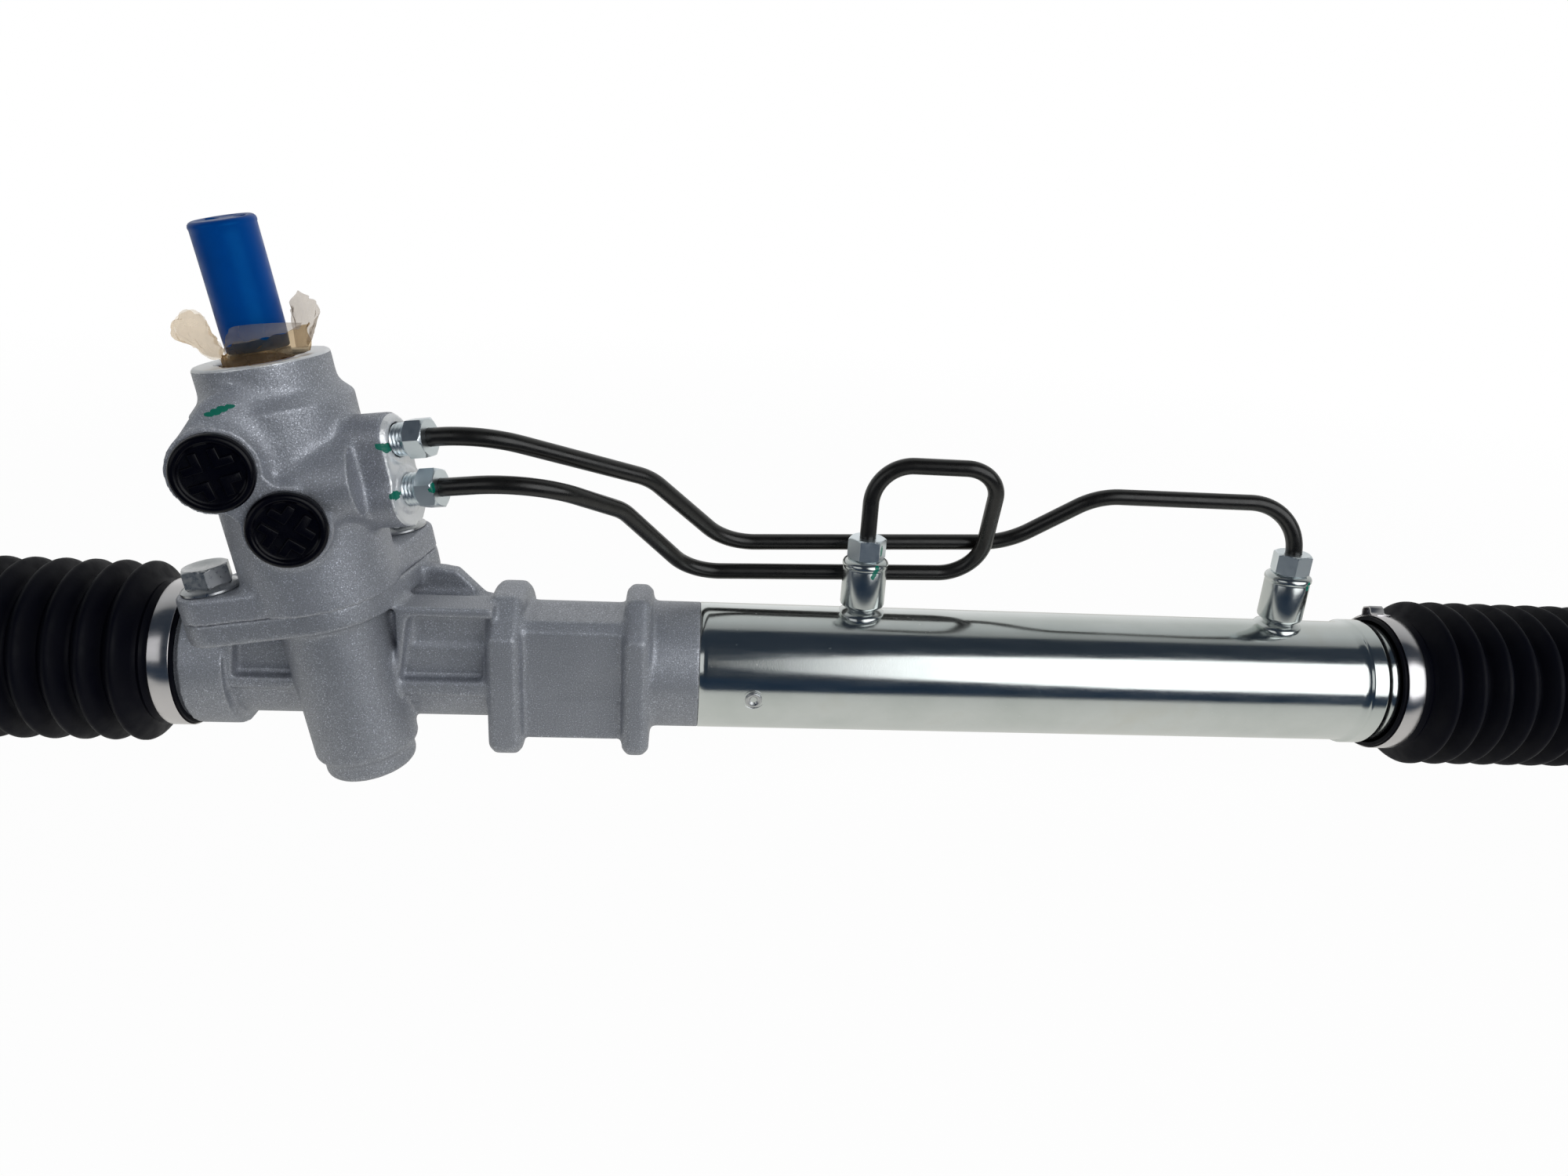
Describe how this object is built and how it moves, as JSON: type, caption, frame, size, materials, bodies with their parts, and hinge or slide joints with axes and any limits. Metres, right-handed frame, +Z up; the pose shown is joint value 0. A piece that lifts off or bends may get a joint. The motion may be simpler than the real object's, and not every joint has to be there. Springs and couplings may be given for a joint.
{
  "type": "steering rack",
  "caption": "Hydraulic power steering rack: pinion and rotary valve in a cast housing, toothed rack with piston in a plated tube, steel transfer lines, bellows and tie rods.",
  "frame": {"origin": "on the rack axis, midway between the two ridges of the square bush seat", "axes": "+X along the rack axis towards the cylinder tube, +Y towards the rack guide, +Z up, the way the cylinder ports point"},
  "size_m": [1.168, 0.1024, 0.1897],
  "materials": {
    "gear_casting": "blasted casting",
    "valve_casting": "blasted casting, machined faces",
    "plated_steel": "zinc plated",
    "bolt_steel": "plated",
    "bearing_steel": "ground",
    "ground_steel": "ground and polished",
    "shaft_steel": "machined",
    "nut_steel": "dark plated, worn edges",
    "line_paint": "dark coated",
    "black_plastic": "moulded",
    "blue_plastic": "soft glossy",
    "film": "translucent film",
    "rubber": "matt",
    "seal_rubber": "matt",
    "ptfe": "filled fluoropolymer",
    "white_plastic": "moulded",
    "piston_steel": "turned",
    "rod_black": "phosphated",
    "guide_alloy": "die cast",
    "sleeve_steel": "ground"
  },
  "bodies": {
    "housing": {"gear_housing": "gear_casting", "valve_housing": "valve_casting", "flange_bolts": "bolt_steel", "pressure_port_plug": "black_plastic", "return_port_plug": "black_plastic", "cylinder_tube": "plated_steel", "tube_set_pin": "bolt_steel", "cylinder_port_left": "plated_steel", "cylinder_port_right": "plated_steel", "cylinder_nut_left": "nut_steel", "cylinder_nut_right": "nut_steel", "valve_nut_lower": "nut_steel", "valve_nut_upper": "nut_steel", "hydraulic_line_long": "line_paint", "hydraulic_line_looped": "line_paint", "rack_guide": "guide_alloy", "guide_disc_springs": "bearing_steel", "guide_plug": "guide_alloy", "guide_lock_nut": "bolt_steel", "pinion_lower_bearing": "bearing_steel", "pinion_upper_bearing": "bearing_steel", "valve_top_bearing": "bearing_steel", "valve_top_seal": "seal_rubber", "valve_snap_ring": "bearing_steel", "film_wrap": "film", "inner_rack_seal": "seal_rubber", "rack_end_bushing": "ptfe", "rack_end_seal": "seal_rubber", "left_boot": "rubber", "right_boot": "rubber", "left_boot_band": "plated_steel", "right_boot_band": "plated_steel"},
    "rack": {"rack_bar": "ground_steel", "piston": "piston_steel", "piston_ring": "ptfe", "left_ball_socket": "shaft_steel", "right_ball_socket": "shaft_steel", "left_lock_washer": "bolt_steel", "right_lock_washer": "bolt_steel"},
    "pinion": {"pinion_shaft": "shaft_steel", "torsion_bar": "bearing_steel", "valve_sleeve": "sleeve_steel", "sleeve_seal_rings": "ptfe"},
    "input": {"input_shaft": "shaft_steel", "shaft_cap": "blue_plastic"},
    "left_seat": {"left_ball_seat": "white_plastic"},
    "right_seat": {"right_ball_seat": "white_plastic"},
    "left_rod": {"left_tie_rod": "rod_black", "left_jam_nut": "bolt_steel", "left_boot_clip": "bolt_steel"},
    "right_rod": {"right_tie_rod": "rod_black", "right_jam_nut": "bolt_steel", "right_boot_clip": "bolt_steel"}
  },
  "joints": [
    {"name": "rack_slide", "type": "slide", "parent": "housing", "child": "rack", "axis": [1, 0, 0], "range_m": [-0.072, 0.072], "deforming": ["left_boot", "right_boot"]},
    {"name": "pinion_turn", "type": "hinge", "parent": "housing", "child": "pinion", "pos_m": [-0.0797, -0.01757, 0], "axis": [-0.1736, 0, 0.9848], "range_deg": [-600, 600]},
    {"name": "valve_twist", "type": "hinge", "parent": "pinion", "child": "input", "pos_m": [-0.09012, -0.01757, 0.05909], "axis": [-0.1736, 0, 0.9848], "range_deg": [-4, 4], "stiffness_Nm_per_rad": 80},
    {"name": "left_rod_sweep", "type": "hinge", "parent": "rack", "child": "left_seat", "pos_m": [-0.244, 0, 0], "axis": [0, 0, 1], "range_deg": [-18, 18], "deforming": ["left_boot"]},
    {"name": "left_rod_rise", "type": "hinge", "parent": "left_seat", "child": "left_rod", "pos_m": [-0.244, 0, 0], "axis": [0, -1, 0], "range_deg": [-18, 18], "deforming": ["left_boot"]},
    {"name": "right_rod_sweep", "type": "hinge", "parent": "rack", "child": "right_seat", "pos_m": [0.414, 0, 0], "axis": [0, 0, 1], "range_deg": [-18, 18], "deforming": ["right_boot"]},
    {"name": "right_rod_rise", "type": "hinge", "parent": "right_seat", "child": "right_rod", "pos_m": [0.414, 0, 0], "axis": [0, -1, 0], "range_deg": [-18, 18], "deforming": ["right_boot"]}
  ],
  "couplings": [
    {"joint": "pinion_turn", "follows": "rack_slide", "rad_per_m": -142.86}
  ]
}
